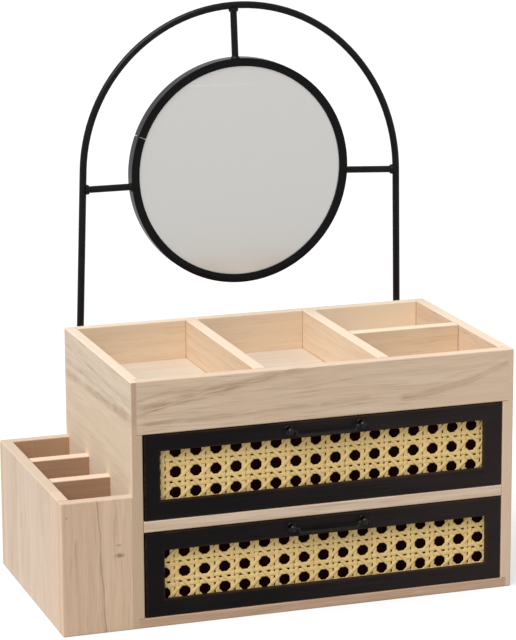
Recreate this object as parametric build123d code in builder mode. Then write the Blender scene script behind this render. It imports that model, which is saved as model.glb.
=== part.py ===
from build123d import *
import math
import os

os.makedirs("parts", exist_ok=True)

# Vanity box with a side bin, two drawers with cane fronts and a round mirror on a bent rod.
# Millimetres, +Z up, the front faces -Y. The origin is under the middle of the whole outline.

# ---------------------------------------------------------------- driving dimensions

# main box
box_width = 280.0
box_depth = 171.0
box_height = 174.5
side_thick = 8.0
front_board_thick = 8.0
back_board_thick = 7.0
bottom_thick = 7.0
shelf_thick = 8.0
front_board_height = 37.5
corner_lap = 4.0
edge_ease = 0.9

# tray in the top of the box
tray_depth = 29.0
tray_floor_thick = 5.0
tray_divider_thick = 8.5

# side bin
bin_width = 50.0
bin_height = 94.5
bin_wall_thick = 8.0
bin_floor_thick = 6.0
bin_divider_thick = 8.5

# drawer fronts
drawer_side_gap = 0.6
drawer_bottom_gap = 0.3
drawer_top_gap = 0.6
drawer_recess = 0.0
drawer_shift = 0.3
frame_side_width = 12.5
frame_rail_height = 12.5
window_corner = 1.2
window_ease = 0.5
window_shift_x = 1.2
window_shift_z = 0.7
window_lip = 3.2
rebate_width = 5.0
rebate_clearance = 0.2
cane_thick = 1.3
cane_pitch = 14.5
cane_hole = 7.9
cane_margin = 0.5
backing_thick = 3.0

# drawer boxes
drawer_box_side_gap = 1.0
drawer_box_back_gap = 0.5
drawer_box_top_gap = 2.2
drawer_board_thick = 6.0
drawer_floor_thick = 3.0
drawer_floor_rise = 4.0
groove_depth = 3.0
groove_clearance = 0.2

# handles
handle_spacing = 53.0
handle_shift = 0.9
handle_rise = 0.5
handle_reach = 3.7
rosette_diameter = 7.4
rosette_thick = 1.0
ball_diameter = 5.2
stud_diameter = 3.0
stud_clearance = 0.1
stud_tail = 0.6
nut_diameter = 6.0
nut_thick = 2.4
bail_wire = 2.0
bail_bend = 1.5
bail_straight = 0.4
bail_end = 1.2
bail_ball_gap = 0.5
bail_clearance = 0.1

# arch and its fixing
rod_diameter = 5.2
arch_rise = 109.66
arch_shift = -4.54
shoulder_start = 50.0
leg_inset_left = 13.04
leg_inset_right = 20.36
leg_splay_left = 2.14
leg_splay_right = 0.61
leg_drop = 88.0
arch_gap = 0.1
leg_chamfer = 0.6
clip_width = 10.0
clip_thick = 1.2
clip_clearance = 0.1
clip_ear = 7.0
clip_drops = {"upper": 22.0, "lower": 70.0}
screw_diameter = 2.6
screw_length = 6.6
screw_head_diameter = 5.0
screw_head_height = 1.6
screw_clearance = 0.1

# mirror
mirror_shift_x = 0.2
mirror_shift_z = -3.1
rim_radius = 83.1
rim_depth = 9.7
rim_wall = 1.6
rim_lip = 6.1
rim_lip_thick = 1.6
rim_bevel_width = 3.0
rim_bevel_drop = 0.8
rim_behind_rod = 6.0
rim_seam = 0.5
rim_seam_angle = 159.0
glass_clearance = 0.3
glass_thick = 3.0
spoke_diameter = 5.0
spoke_drop_left = 10.1
spoke_drop_right = 7.8
spoke_fall_right = 2.0
spoke_shift_top = -3.7
spoke_lean_top = 1.25
weld_width = 1.1
weld_length = 2.4

# ---------------------------------------------------------------- places worked out from them

box_left = (bin_width - box_width) / 2
box_right = box_left + box_width
box_middle = (box_left + box_right) / 2
inner_left = box_left + side_thick
inner_right = box_right - side_thick
lap_left = inner_left - corner_lap
lap_right = inner_right + corner_lap
bin_left = box_left - bin_width

rod_radius = rod_diameter / 2
rod_behind_box = arch_gap + rod_radius
clip_reach = rod_behind_box + rod_radius + clip_clearance + clip_thick
rim_reach = rod_behind_box + rim_behind_rod
back_reach = max(clip_reach, rim_reach)
front_reach = handle_reach + ball_diameter / 2 - drawer_recess

box_front = (front_reach - box_depth - back_reach) / 2
box_back = box_front + box_depth
tray_front = box_front + front_board_thick
tray_back = box_back - back_board_thick
rod_y = box_back + rod_behind_box

drawer_opening_height = (box_height - front_board_height - shelf_thick - bottom_thick) / 2
shelf_bottom = bottom_thick + drawer_opening_height
shelf_top = shelf_bottom + shelf_thick
front_board_bottom = shelf_top + drawer_opening_height
tray_floor_top = box_height - tray_depth
tray_floor_bottom = tray_floor_top - tray_floor_thick

tray_column = (inner_right - inner_left - 2 * tray_divider_thick) / 3
divider_left = inner_left + tray_column
divider_right = divider_left + tray_divider_thick + tray_column
cross_front = (tray_front + tray_back - tray_divider_thick) / 2

bin_inner_left = bin_left + bin_wall_thick
bin_front = box_front + bin_wall_thick
bin_back = box_back - bin_wall_thick
bin_room = (bin_back - bin_front - 2 * bin_divider_thick) / 3
bin_divider_front = bin_front + bin_room
bin_divider_rear = bin_divider_front + bin_divider_thick + bin_room

arch_height = box_height + arch_rise
arch_x = box_middle + arch_shift
leg_bottom = box_height - leg_drop
splay_left = math.radians(leg_splay_left)
splay_right = math.radians(leg_splay_right)
mirror_x = arch_x + mirror_shift_x
mirror_z = arch_height + mirror_shift_z
rim_back = rod_y + rim_behind_rod
rim_front = rim_back - rim_depth


def middle(span):
    return (span[0] + span[1]) / 2


def length(span):
    return span[1] - span[0]


def facing(y, x=0.0, z=0.0):
    """Plane seen square from the front: its x is the part's X, its y is the part's Z."""
    return Plane(origin=(x, y, z), x_dir=(1, 0, 0), z_dir=(0, -1, 0))


def keep(piece, name):
    piece.part.label = name
    export_step(piece.part, f"parts/{name}.step")


# ---------------------------------------------------------------- plain boards

inner_x = (inner_left, inner_right)
lap_x = (lap_left, lap_right)
box_y = (box_front, box_back)
tray_y = (tray_front, tray_back)
tray_z = (tray_floor_top, box_height)
bin_x = (bin_inner_left, box_left)
bin_y = (bin_front, bin_back)
bin_inside_z = (bin_floor_thick, bin_height)

# each board: its span along X, Y and Z, and the axis along which its edges are eased
boards = {
    "top_front_board": (lap_x, (box_front, tray_front), (front_board_bottom, box_height), Axis.X),
    "middle_shelf": (inner_x, (box_front, tray_back), (shelf_bottom, shelf_top), Axis.X),
    "bottom_board": (lap_x, box_y, (0.0, bottom_thick), Axis.X),
    "tray_floor": (inner_x, tray_y, (tray_floor_bottom, tray_floor_top), None),
    "tray_divider_left": ((divider_left, divider_left + tray_divider_thick), tray_y, tray_z, Axis.Y),
    "tray_divider_right": ((divider_right, divider_right + tray_divider_thick), tray_y, tray_z, Axis.Y),
    "tray_cross_divider": (
        (divider_right + tray_divider_thick, inner_right),
        (cross_front, cross_front + tray_divider_thick),
        tray_z,
        Axis.X,
    ),
    "bin_outer_wall": ((bin_left, bin_inner_left), bin_y, (0.0, bin_height), Axis.Y),
    "bin_floor": (bin_x, bin_y, (0.0, bin_floor_thick), None),
    "bin_divider_front": (
        bin_x,
        (bin_divider_front, bin_divider_front + bin_divider_thick),
        bin_inside_z,
        Axis.X,
    ),
    "bin_divider_rear": (
        bin_x,
        (bin_divider_rear, bin_divider_rear + bin_divider_thick),
        bin_inside_z,
        Axis.X,
    ),
}

for board_name, (x_span, y_span, z_span, eased_axis) in boards.items():
    with BuildPart() as board:
        with BuildSketch(Plane.XY.offset(z_span[0])):
            with Locations((middle(x_span), middle(y_span))):
                Rectangle(length(x_span), length(y_span))
        extrude(amount=length(z_span))
        if eased_axis is not None:
            fillet(board.edges().filter_by(eased_axis), edge_ease)
    keep(board, board_name)

# the bin's end boards are eased round their outer ends too
bin_ends = {"bin_front_board": (box_front, bin_front), "bin_back_board": (bin_back, box_back)}

for board_name, y_span in bin_ends.items():
    with BuildPart() as board:
        with BuildSketch(Plane.XY):
            with Locations(((bin_left + box_left) / 2, middle(y_span))):
                Rectangle(bin_width, length(y_span))
        extrude(amount=bin_height)
        fillet(board.edges().filter_by(Axis.X) + board.edges().group_by(Axis.X)[0], edge_ease)
    keep(board, board_name)

# ---------------------------------------------------------------- arch that carries the mirror

# the straight legs, -1 on the left and 1 on the right: where each passes the top of the box
leg_at_top = {-1: box_left + leg_inset_left, 1: box_right - leg_inset_right}
leg_splay = {-1: splay_left, 1: splay_right}


def leg_x(side, z):
    """Middle of a leg at height z; side is -1 on the left and 1 on the right."""
    return leg_at_top[side] - side * (z - box_height) * math.tan(leg_splay[side])


# two arcs that run into each other: the main one touches the left leg, and the right shoulder,
# which starts on the main one at shoulder_start degrees, touches the right leg
arch_middle = Vector(arch_x, arch_height)
left_out = Vector(-math.cos(splay_left), math.sin(splay_left))
right_out = Vector(math.cos(splay_right), math.sin(splay_right))
shoulder_turn = math.radians(shoulder_start)
shoulder_out = Vector(math.cos(shoulder_turn), math.sin(shoulder_turn))
half_turn = (shoulder_turn + splay_right) / 2
half_out = Vector(math.cos(half_turn), math.sin(half_turn))

arch_radius = (Vector(leg_at_top[-1], box_height) - arch_middle).dot(left_out)
right_reach = (Vector(leg_at_top[1], box_height) - arch_middle).dot(right_out)
leaning = shoulder_out.dot(right_out)
shoulder_radius = (right_reach - arch_radius * leaning) / (1 - leaning)
shoulder_middle = arch_middle - shoulder_out * (shoulder_radius - arch_radius)

bends = [
    arch_middle + left_out * arch_radius,
    arch_middle + Vector(0, arch_radius),
    arch_middle + shoulder_out * arch_radius,
    shoulder_middle + half_out * shoulder_radius,
    shoulder_middle + right_out * shoulder_radius,
]
left_bend, arch_top, shoulder_bend, shoulder_half, right_bend = [(bend.X, bend.Y) for bend in bends]

with BuildPart() as arch_rod:
    with BuildLine(facing(rod_y)) as arch_path:
        Line((leg_x(-1, leg_bottom), leg_bottom), left_bend)
        ThreePointArc(left_bend, arch_top, shoulder_bend)
        ThreePointArc(shoulder_bend, shoulder_half, right_bend)
        Line(right_bend, (leg_x(1, leg_bottom), leg_bottom))
    with BuildSketch(Plane(origin=arch_path.line @ 0, z_dir=arch_path.line % 0)):
        Circle(rod_radius)
    sweep()
    chamfer(arch_rod.edges().group_by(Axis.Z)[0], leg_chamfer)
keep(arch_rod, "arch_rod")

# saddle clips behind the back board, each square to its leg and held by two screws
screw_offset = rod_radius + clip_clearance + clip_thick + (clip_ear - clip_thick) / 2
screw_places = []

for side_name, side in (("left", -1), ("right", 1)):
    for row_name, drop in clip_drops.items():
        clip_z = box_height - drop
        clip_x = leg_x(side, clip_z)
        splay = leg_splay[side]
        leg_down = Vector(side * math.sin(splay), 0, -math.cos(splay))
        across = Vector(math.cos(splay), 0, side * math.sin(splay))
        clip_middle = Vector(clip_x, box_back, clip_z)
        clip_start = clip_middle - leg_down * (clip_width / 2)
        clip_plane = Plane(origin=clip_start, x_dir=across, z_dir=leg_down)
        rod_in_clip = clip_plane.to_local_coords(Vector(clip_start.X, rod_y, clip_start.Z)).Y
        away = math.copysign(1.0, rod_in_clip)
        hollow = rod_radius + clip_clearance
        outside = hollow + clip_thick
        with BuildPart() as clip:
            with BuildSketch(clip_plane):
                with Locations((0, rod_in_clip)):
                    Circle(outside)
                with Locations((0, rod_in_clip / 2)):
                    Rectangle(2 * outside, abs(rod_in_clip))
                with Locations((0, away * clip_thick / 2)):
                    Rectangle(2 * (hollow + clip_ear), clip_thick)
                with Locations((0, rod_in_clip)):
                    Circle(hollow, mode=Mode.SUBTRACT)
                with Locations((0, rod_in_clip / 2)):
                    Rectangle(2 * hollow, abs(rod_in_clip), mode=Mode.SUBTRACT)
                with Locations((0, -away * outside / 2)):
                    Rectangle(4 * outside, outside, mode=Mode.SUBTRACT)
            extrude(amount=clip_width)
            for hand in (-1, 1):
                screw_at = clip_middle + across * (hand * screw_offset)
                screw_places.append((screw_at.X, screw_at.Z))
                with BuildSketch(facing(box_back, screw_at.X, screw_at.Z)):
                    Circle(screw_diameter / 2 + screw_clearance)
                extrude(amount=-clip_thick, mode=Mode.SUBTRACT)
        keep(clip, f"arch_clip_{side_name}_{row_name}")

screw_radius = screw_diameter / 2
head_radius = screw_head_diameter / 2
head_y = box_back + clip_thick
with BuildPart() as clip_screws:
    with BuildSketch(facing(head_y)):
        with Locations(*screw_places):
            Circle(head_radius)
    extrude(amount=-screw_head_height)
    fillet(clip_screws.edges().group_by(Axis.Y)[-1], screw_head_height / 2)
    with BuildSketch(facing(head_y)):
        with Locations(*screw_places):
            Circle(screw_radius)
    extrude(amount=screw_length)
keep(clip_screws, "clip_screws")

# the three boards that take the clip screws; the side boards are rebated along the bottom for
# the bottom board and at the top front for the top front board
screwed_boards = {
    "side_board_left": ((box_left, inner_left), box_y, (0.0, box_height)),
    "side_board_right": ((inner_right, box_right), box_y, (0.0, box_height)),
    "back_board": (inner_x, (tray_back, box_back), (bottom_thick, box_height)),
}
side_rebates = {
    "bottom": (box_y, (0.0, bottom_thick)),
    "top front": ((box_front, tray_front), (front_board_bottom, box_height)),
}
pilot_depth = screw_length - clip_thick + screw_clearance

for board_name, (x_span, y_span, z_span) in screwed_boards.items():
    with BuildPart() as board:
        with BuildSketch(Plane.XY.offset(z_span[0])):
            with Locations((middle(x_span), middle(y_span))):
                Rectangle(length(x_span), length(y_span))
        extrude(amount=length(z_span))
        if board_name == "back_board":
            fillet(board.edges().filter_by(Axis.X), edge_ease)
        else:
            fillet(board.edges(), edge_ease)
            for rebate_y, rebate_z in side_rebates.values():
                with BuildSketch(Plane.XY.offset(rebate_z[0])):
                    with Locations((middle(lap_x), middle(rebate_y))):
                        Rectangle(length(lap_x), length(rebate_y))
                extrude(amount=length(rebate_z), mode=Mode.SUBTRACT)
        with BuildSketch(facing(box_back)):
            with Locations(*screw_places):
                Circle(screw_radius + screw_clearance)
        extrude(amount=pilot_depth, mode=Mode.SUBTRACT)
    keep(board, board_name)

# ---------------------------------------------------------------- mirror and its three spokes

mirror_axis = Axis((mirror_x, 0, mirror_z), (0, 1, 0))
rim_inner = rim_radius - rim_wall
glass_radius = rim_inner - glass_clearance
lip_inner = rim_radius - rim_lip

with BuildPart() as mirror_rim:
    with BuildSketch(Plane(origin=(mirror_x, 0, mirror_z), x_dir=(1, 0, 0), z_dir=(0, 0, 1))):
        with BuildLine():
            Polyline(
                (lip_inner, rim_front + rim_bevel_drop),
                (lip_inner + rim_bevel_width, rim_front),
                (rim_radius, rim_front),
                (rim_radius, rim_back),
                (rim_inner, rim_back),
                (rim_inner, rim_front + rim_lip_thick),
                (lip_inner, rim_front + rim_lip_thick),
                close=True,
            )
        make_face()
    revolve(axis=mirror_axis)
    fillet(mirror_rim.edges().group_by(Axis.Y)[0], rim_lip_thick / 4)
    seam_turn = math.radians(rim_seam_angle)
    seam_out = (math.cos(seam_turn), math.sin(seam_turn))
    seam_reach = (lip_inner + rim_radius) / 2
    seam_x = mirror_x + seam_reach * seam_out[0]
    seam_z = mirror_z + seam_reach * seam_out[1]
    with BuildSketch(facing(rim_front, seam_x, seam_z)):
        Rectangle(2 * rim_lip, rim_seam, rotation=rim_seam_angle)
    extrude(amount=-rim_depth, mode=Mode.SUBTRACT)
keep(mirror_rim, "mirror_rim")

glass_front = rim_front + rim_lip_thick
with BuildPart() as mirror_glass:
    with BuildSketch(facing(glass_front, mirror_x, mirror_z)):
        Circle(glass_radius)
    extrude(amount=-glass_thick)
keep(mirror_glass, "mirror_glass")

with BuildPart() as mirror_backing:
    with BuildSketch(facing(glass_front + glass_thick, mirror_x, mirror_z)):
        Circle(glass_radius)
    extrude(amount=-(rim_back - glass_front - glass_thick))
keep(mirror_backing, "mirror_backing")

# each spoke runs from inside the rim's circle to the rod's middle line, and is then coped to both
spoke_radius = spoke_diameter / 2
weld_radius = spoke_radius + weld_width


def arch_reach(offset):
    """Distance from the arch's centre to the rod's middle line, along a line this far off centre."""
    return math.sqrt(arch_radius**2 - offset**2)


def rim_reach_at(offset):
    return math.sqrt(rim_radius**2 - offset**2)


left_z = arch_height - spoke_drop_left
right_z = arch_height - spoke_drop_right
right_rod_z = right_z - spoke_fall_right
top_rod_x = arch_x + spoke_shift_top
top_x = top_rod_x + spoke_lean_top
spokes = {
    "left": (
        Vector(mirror_x - rim_reach_at(left_z - mirror_z), rod_y, left_z),
        Vector(leg_x(-1, left_z), rod_y, left_z),
    ),
    "right": (
        Vector(mirror_x + rim_reach_at(right_z - mirror_z), rod_y, right_z),
        Vector(leg_x(1, right_rod_z), rod_y, right_rod_z),
    ),
    "top": (
        Vector(top_x, rod_y, mirror_z + rim_reach_at(top_x - mirror_x)),
        Vector(top_rod_x, rod_y, arch_height + arch_reach(top_rod_x - arch_x)),
    ),
}

for spoke_name, (rim_end, rod_end) in spokes.items():
    outward = (rod_end - rim_end).normalized()
    start = rim_end - outward * weld_length
    rod_weld = rod_end - outward * (rod_radius + weld_length)
    with BuildPart() as spoke:
        with BuildSketch(Plane(origin=start, z_dir=outward)):
            Circle(spoke_radius)
        extrude(amount=(rod_end - start).length)
        with BuildSketch(Plane(origin=start, z_dir=outward)):
            Circle(weld_radius)
        extrude(amount=weld_length + weld_width)
        with BuildSketch(Plane(origin=rod_weld, z_dir=outward)):
            Circle(weld_radius)
        extrude(amount=weld_length + weld_width)
        along = spoke.edges().filter_by(GeomType.CIRCLE).sort_by(Axis(start, outward))
        ring_edges = along.filter_by(lambda edge: abs(edge.radius - weld_radius) < weld_width / 10)
        chamfer(ring_edges[1:3], weld_width * 0.9)
        add(arch_rod.part, mode=Mode.SUBTRACT)
        with BuildSketch(facing(rim_front - spoke_diameter, mirror_x, mirror_z)):
            Circle(rim_radius)
        extrude(amount=-(rim_depth + 2 * spoke_diameter), mode=Mode.SUBTRACT)
    keep(spoke, f"mirror_spoke_{spoke_name}")

# ---------------------------------------------------------------- drawers

face_front = box_front + drawer_recess
face_thick = window_lip + cane_thick + backing_thick
face_back = face_front + face_thick
face_middle_x = box_middle + drawer_shift
face_width = inner_right - inner_left - 2 * drawer_side_gap
face_height = drawer_opening_height - drawer_bottom_gap - drawer_top_gap
window_width = face_width - 2 * frame_side_width
window_height = face_height - 2 * frame_rail_height
sheet_width = window_width + 2 * rebate_width
sheet_height = window_height + 2 * rebate_width
cane_y = face_front + window_lip
backing_y = cane_y + cane_thick
pivot_y = face_front - handle_reach

drawer_box_height = drawer_opening_height - drawer_bottom_gap - drawer_box_top_gap
drawer_box_left = inner_left + drawer_box_side_gap
drawer_box_right = inner_right - drawer_box_side_gap
drawer_box_back = tray_back - drawer_box_back_gap
drawer_inside_left = drawer_box_left + drawer_board_thick
drawer_inside_right = drawer_box_right - drawer_board_thick
inner_front_back = face_back + drawer_board_thick
drawer_back_front = drawer_box_back - drawer_board_thick
floor_slot = drawer_floor_thick + groove_clearance
floor_edge = groove_depth - groove_clearance
nut_hex_radius = nut_diameter / 2
stud_radius = stud_diameter / 2
ball_radius = ball_diameter / 2
bail_drop = 2 * bail_bend + bail_straight
wire_radius = bail_wire / 2


def hole_rows(low, high, first):
    """Places one pitch apart, in step with first, at which a cane hole fits between low and high."""
    room = cane_hole / 2 + cane_margin
    count_low = math.ceil((low + room - first) / cane_pitch)
    count_high = math.floor((high - room - first) / cane_pitch)
    return [first + cane_pitch * count for count in range(count_low, count_high + 1)]


# each drawer: height of its opening's floor, the way its front is turned (1 as cut, -1 turned
# round in its own plane), one cane hole's place from the window's middle, and the sheet's tilt
drawers = {
    "upper": (shelf_top, 1, (-5.6, 0.65), -0.42),
    "lower": (bottom_thick, -1, (-2.15, 0.85), 0.30),
}

for drawer_name, (opening_z, turned, cane_first, cane_tilt) in drawers.items():
    face_bottom = opening_z + drawer_bottom_gap
    face_middle_z = face_bottom + face_height / 2
    window_x = face_middle_x - turned * window_shift_x
    window_z = face_middle_z + turned * window_shift_z
    window_top = window_z + window_height / 2
    handle_x = box_middle - turned * handle_shift
    handle_z = (window_top + face_bottom + face_height) / 2 + handle_rise
    post_places = [(handle_x - handle_spacing / 2, handle_z), (handle_x + handle_spacing / 2, handle_z)]

    with BuildPart() as face_frame:
        with BuildSketch(facing(face_front, face_middle_x, face_middle_z)):
            Rectangle(face_width, face_height)
        extrude(amount=-face_thick)
        fillet(face_frame.edges().group_by(Axis.Y)[0], edge_ease)
        with BuildSketch(facing(face_front, window_x, window_z)):
            RectangleRounded(window_width, window_height, window_corner)
        extrude(amount=-face_thick, mode=Mode.SUBTRACT)
        fillet(face_frame.edges(Select.LAST).group_by(Axis.Y)[0], window_ease)
        with BuildSketch(facing(cane_y, window_x, window_z)):
            Rectangle(sheet_width, sheet_height)
        extrude(amount=-(face_thick - window_lip), mode=Mode.SUBTRACT)
        with BuildSketch(facing(face_front)):
            with Locations(*post_places):
                Circle(stud_radius + stud_clearance)
        extrude(amount=-face_thick, mode=Mode.SUBTRACT)
    keep(face_frame, f"{drawer_name}_face_frame")

    sheet_x = sheet_width / 2 - rebate_clearance
    sheet_z = sheet_height / 2 - rebate_clearance
    tilt = math.radians(cane_tilt)
    cane_plane = Plane(
        origin=(window_x, cane_y, window_z),
        x_dir=(math.cos(tilt), 0, math.sin(tilt)),
        z_dir=(0, -1, 0),
    )
    hole_places = [
        (x, z)
        for x in hole_rows(-sheet_x, sheet_x, cane_first[0])
        for z in hole_rows(-sheet_z, sheet_z, cane_first[1])
    ]
    with BuildPart() as cane:
        with BuildSketch(cane_plane):
            Rectangle(2 * sheet_x, 2 * sheet_z, rotation=-cane_tilt)
            with Locations(*hole_places):
                RegularPolygon(cane_hole / 2, side_count=8, major_radius=False, rotation=22.5,
                               mode=Mode.SUBTRACT)
        extrude(amount=-cane_thick)
    keep(cane, f"{drawer_name}_cane")

    with BuildPart() as backing:
        with BuildSketch(facing(backing_y, window_x, window_z)):
            Rectangle(2 * sheet_x, 2 * sheet_z)
        extrude(amount=-backing_thick)
    keep(backing, f"{drawer_name}_backing")

    # boards of the drawer box, each grooved for the floor
    floor_bottom = face_bottom + drawer_floor_rise
    slot_z = (floor_bottom, floor_bottom + floor_slot)
    slot_x = (drawer_inside_left - groove_depth, drawer_inside_right + groove_depth)
    slot_y = (inner_front_back - groove_depth, drawer_back_front + groove_depth)
    box_boards = {
        "side_left": ((drawer_box_left, drawer_inside_left), (face_back, drawer_box_back)),
        "side_right": ((drawer_inside_right, drawer_box_right), (face_back, drawer_box_back)),
        "inner_front": ((drawer_inside_left, drawer_inside_right), (face_back, inner_front_back)),
        "back": ((drawer_inside_left, drawer_inside_right), (drawer_back_front, drawer_box_back)),
    }
    for board_name, (x_span, y_span) in box_boards.items():
        with BuildPart() as drawer_board:
            with BuildSketch(Plane.XY.offset(face_bottom)):
                with Locations((middle(x_span), middle(y_span))):
                    Rectangle(length(x_span), length(y_span))
            extrude(amount=drawer_box_height)
            with BuildSketch(Plane.XY.offset(slot_z[0])):
                with Locations((middle(slot_x), middle(slot_y))):
                    Rectangle(length(slot_x), length(slot_y))
            extrude(amount=length(slot_z), mode=Mode.SUBTRACT)
            if board_name == "inner_front":
                with BuildSketch(facing(face_back)):
                    with Locations(*post_places):
                        Circle(stud_radius + stud_clearance)
                extrude(amount=-drawer_board_thick, mode=Mode.SUBTRACT)
        keep(drawer_board, f"{drawer_name}_{board_name}")

    with BuildPart() as drawer_floor:
        with BuildSketch(Plane.XY.offset(floor_bottom)):
            with Locations((middle(slot_x), middle(slot_y))):
                Rectangle(
                    drawer_inside_right - drawer_inside_left + 2 * floor_edge,
                    drawer_back_front - inner_front_back + 2 * floor_edge,
                )
        extrude(amount=drawer_floor_thick)
    keep(drawer_floor, f"{drawer_name}_floor")

    # two posts: a round base, a ball bored across for the bail, and a stud through both fronts
    stud_end = inner_front_back + nut_thick + stud_tail
    with BuildPart() as handle_posts:
        with BuildSketch(facing(face_front)):
            with Locations(*post_places):
                Circle(rosette_diameter / 2)
        extrude(amount=rosette_thick)
        fillet(handle_posts.edges().group_by(Axis.Y)[0], rosette_thick / 2)
        with BuildSketch(facing(face_front)):
            with Locations(*post_places):
                Circle(stud_radius)
        extrude(amount=handle_reach)
        with BuildSketch(facing(face_front)):
            with Locations(*post_places):
                Circle(stud_radius)
        extrude(amount=-(stud_end - face_front))
        for post_x, post_z in post_places:
            with Locations((post_x, pivot_y, post_z)):
                Sphere(ball_radius)
        with BuildSketch(Plane(origin=(handle_x, pivot_y, handle_z), z_dir=(1, 0, 0))):
            Circle(wire_radius + bail_clearance)
        extrude(amount=handle_spacing, both=True, mode=Mode.SUBTRACT)
    keep(handle_posts, f"{drawer_name}_handle_posts")

    with BuildPart() as handle_nuts:
        with BuildSketch(facing(inner_front_back)):
            with Locations(*post_places):
                RegularPolygon(nut_hex_radius, side_count=6)
            with Locations(*post_places):
                Circle(stud_radius + stud_clearance, mode=Mode.SUBTRACT)
        extrude(amount=-nut_thick)
    keep(handle_nuts, f"{drawer_name}_handle_nuts")

    # wire bail: its ends pass through the balls, its bar hangs just below them
    end_x = handle_spacing / 2 + ball_radius + bail_end
    corner_x = handle_spacing / 2 - ball_radius - bail_ball_gap - bail_bend
    with BuildPart() as handle_bail:
        with BuildLine(facing(pivot_y, handle_x, handle_z)) as bail_path:
            FilletPolyline(
                (-end_x, 0),
                (-corner_x, 0),
                (-corner_x, -bail_drop),
                (corner_x, -bail_drop),
                (corner_x, 0),
                (end_x, 0),
                radius=bail_bend,
            )
        with BuildSketch(Plane(origin=bail_path.line @ 0, z_dir=bail_path.line % 0)):
            Circle(wire_radius)
        sweep()
    keep(handle_bail, f"{drawer_name}_handle_bail")
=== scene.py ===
"""Looks of a wooden vanity box with a side bin, cane-fronted drawers and a round mirror on a bent rod.

Every board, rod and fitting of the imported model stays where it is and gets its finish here. The cane
webbing is woven strand by strand and stands for the flat panels behind the drawers' windows.
Lengths are millimetres in the values below and metres in the meshes; +Z is up, the front faces -Y.
"""

import logging
import math
from dataclasses import dataclass, field
from enum import Enum

import bpy
import numpy as np
from mathutils import Matrix, Vector


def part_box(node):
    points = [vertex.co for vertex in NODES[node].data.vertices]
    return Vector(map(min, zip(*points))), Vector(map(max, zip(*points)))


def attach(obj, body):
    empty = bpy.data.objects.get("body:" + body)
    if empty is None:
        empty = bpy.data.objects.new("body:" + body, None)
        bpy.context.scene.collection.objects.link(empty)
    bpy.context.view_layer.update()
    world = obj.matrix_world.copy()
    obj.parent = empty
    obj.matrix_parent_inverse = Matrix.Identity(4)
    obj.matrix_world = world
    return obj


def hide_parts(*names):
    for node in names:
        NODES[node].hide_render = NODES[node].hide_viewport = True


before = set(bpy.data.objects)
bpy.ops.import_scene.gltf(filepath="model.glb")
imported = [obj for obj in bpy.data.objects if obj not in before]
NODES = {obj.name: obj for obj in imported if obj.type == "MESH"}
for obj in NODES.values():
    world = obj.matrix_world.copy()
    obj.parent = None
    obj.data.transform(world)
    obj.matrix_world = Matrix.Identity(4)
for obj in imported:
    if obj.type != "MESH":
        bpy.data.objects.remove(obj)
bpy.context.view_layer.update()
MM = 0.001
LOG = logging.getLogger("vanity_box")


def linear(red: float, green: float, blue: float) -> tuple[float, float, float, float]:
    """Turn a colour as it is seen, 0 to 255 a channel, into the linear colour that a shader takes.

    Args:
        red: Red channel.
        green: Green channel.
        blue: Blue channel.

    Returns:
        The linear colour with an alpha of 1.
    """
    seen = np.array([red, green, blue], float) / 255.0
    low = seen / 12.92
    high = ((seen + 0.055) / 1.055) ** 2.4
    red_out, green_out, blue_out = np.where(seen <= 0.04045, low, high)
    return float(red_out), float(green_out), float(blue_out), 1.0


class Direction(Enum):
    """The object's three directions, as places in a position."""

    ACROSS = 0
    DEPTH = 1
    UP = 2


# ---------------------------------------------------------------------------- shader maths


class Signal:
    """A value that flows through a material's nodes, with Python's arithmetic."""

    def __init__(self, graph: "Graph", socket: bpy.types.NodeSocket) -> None:
        """Wrap one output socket of a node in the given graph."""
        self.graph = graph
        self.socket = socket

    def math(self, operation: str, *others: "Signal | float") -> "Signal":
        """Pass this value and the others through one Math node.

        Args:
            operation: The Math node's operation.
            others: The node's further operands.

        Returns:
            The node's result.
        """
        return self.graph.math(operation, self, *others)

    def __add__(self, other: "Signal | float") -> "Signal":
        """Return the sum."""
        return self.math("ADD", other)

    __radd__ = __add__

    def __sub__(self, other: "Signal | float") -> "Signal":
        """Return the difference."""
        return self.math("SUBTRACT", other)

    def __rsub__(self, other: float) -> "Signal":
        """Return the difference with this value taken away."""
        return self.graph.math("SUBTRACT", other, self)

    def __mul__(self, other: "Signal | float") -> "Signal":
        """Return the product."""
        return self.math("MULTIPLY", other)

    __rmul__ = __mul__

    def __truediv__(self, other: "Signal | float") -> "Signal":
        """Return the quotient."""
        return self.math("DIVIDE", other)

    def __pow__(self, other: "Signal | float") -> "Signal":
        """Return this value raised to a power."""
        return self.math("POWER", other)

    def __abs__(self) -> "Signal":
        """Return the value without its sign."""
        return self.math("ABSOLUTE")

    def floor(self) -> "Signal":
        """Return the whole number at or below the value."""
        return self.math("FLOOR")

    def fraction(self) -> "Signal":
        """Return what is left above the whole number."""
        return self.math("FRACT")

    def root(self) -> "Signal":
        """Return the square root."""
        return self.math("SQRT")

    def least(self, other: "Signal | float") -> "Signal":
        """Return the smaller of the two values."""
        return self.math("MINIMUM", other)

    def most(self, other: "Signal | float") -> "Signal":
        """Return the larger of the two values."""
        return self.math("MAXIMUM", other)

    def ease(self, start: float, end: float) -> "Signal":
        """Rise smoothly from 0 at start to 1 at end.

        Args:
            start: The value at which the result is 0.
            end: The value at which the result is 1; below start, the result falls instead.

        Returns:
            The eased value.
        """
        rising = end > start
        low, high = (start, end) if rising else (end, start)
        targets = (0.0, 1.0) if rising else (1.0, 0.0)
        node = self.graph.node(
            "ShaderNodeMapRange",
            {"interpolation_type": "SMOOTHSTEP"},
            {"Value": self, "From Min": low, "From Max": high, "To Min": targets[0], "To Max": targets[1]},
        )
        return Signal(self.graph, node.outputs["Result"])


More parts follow.
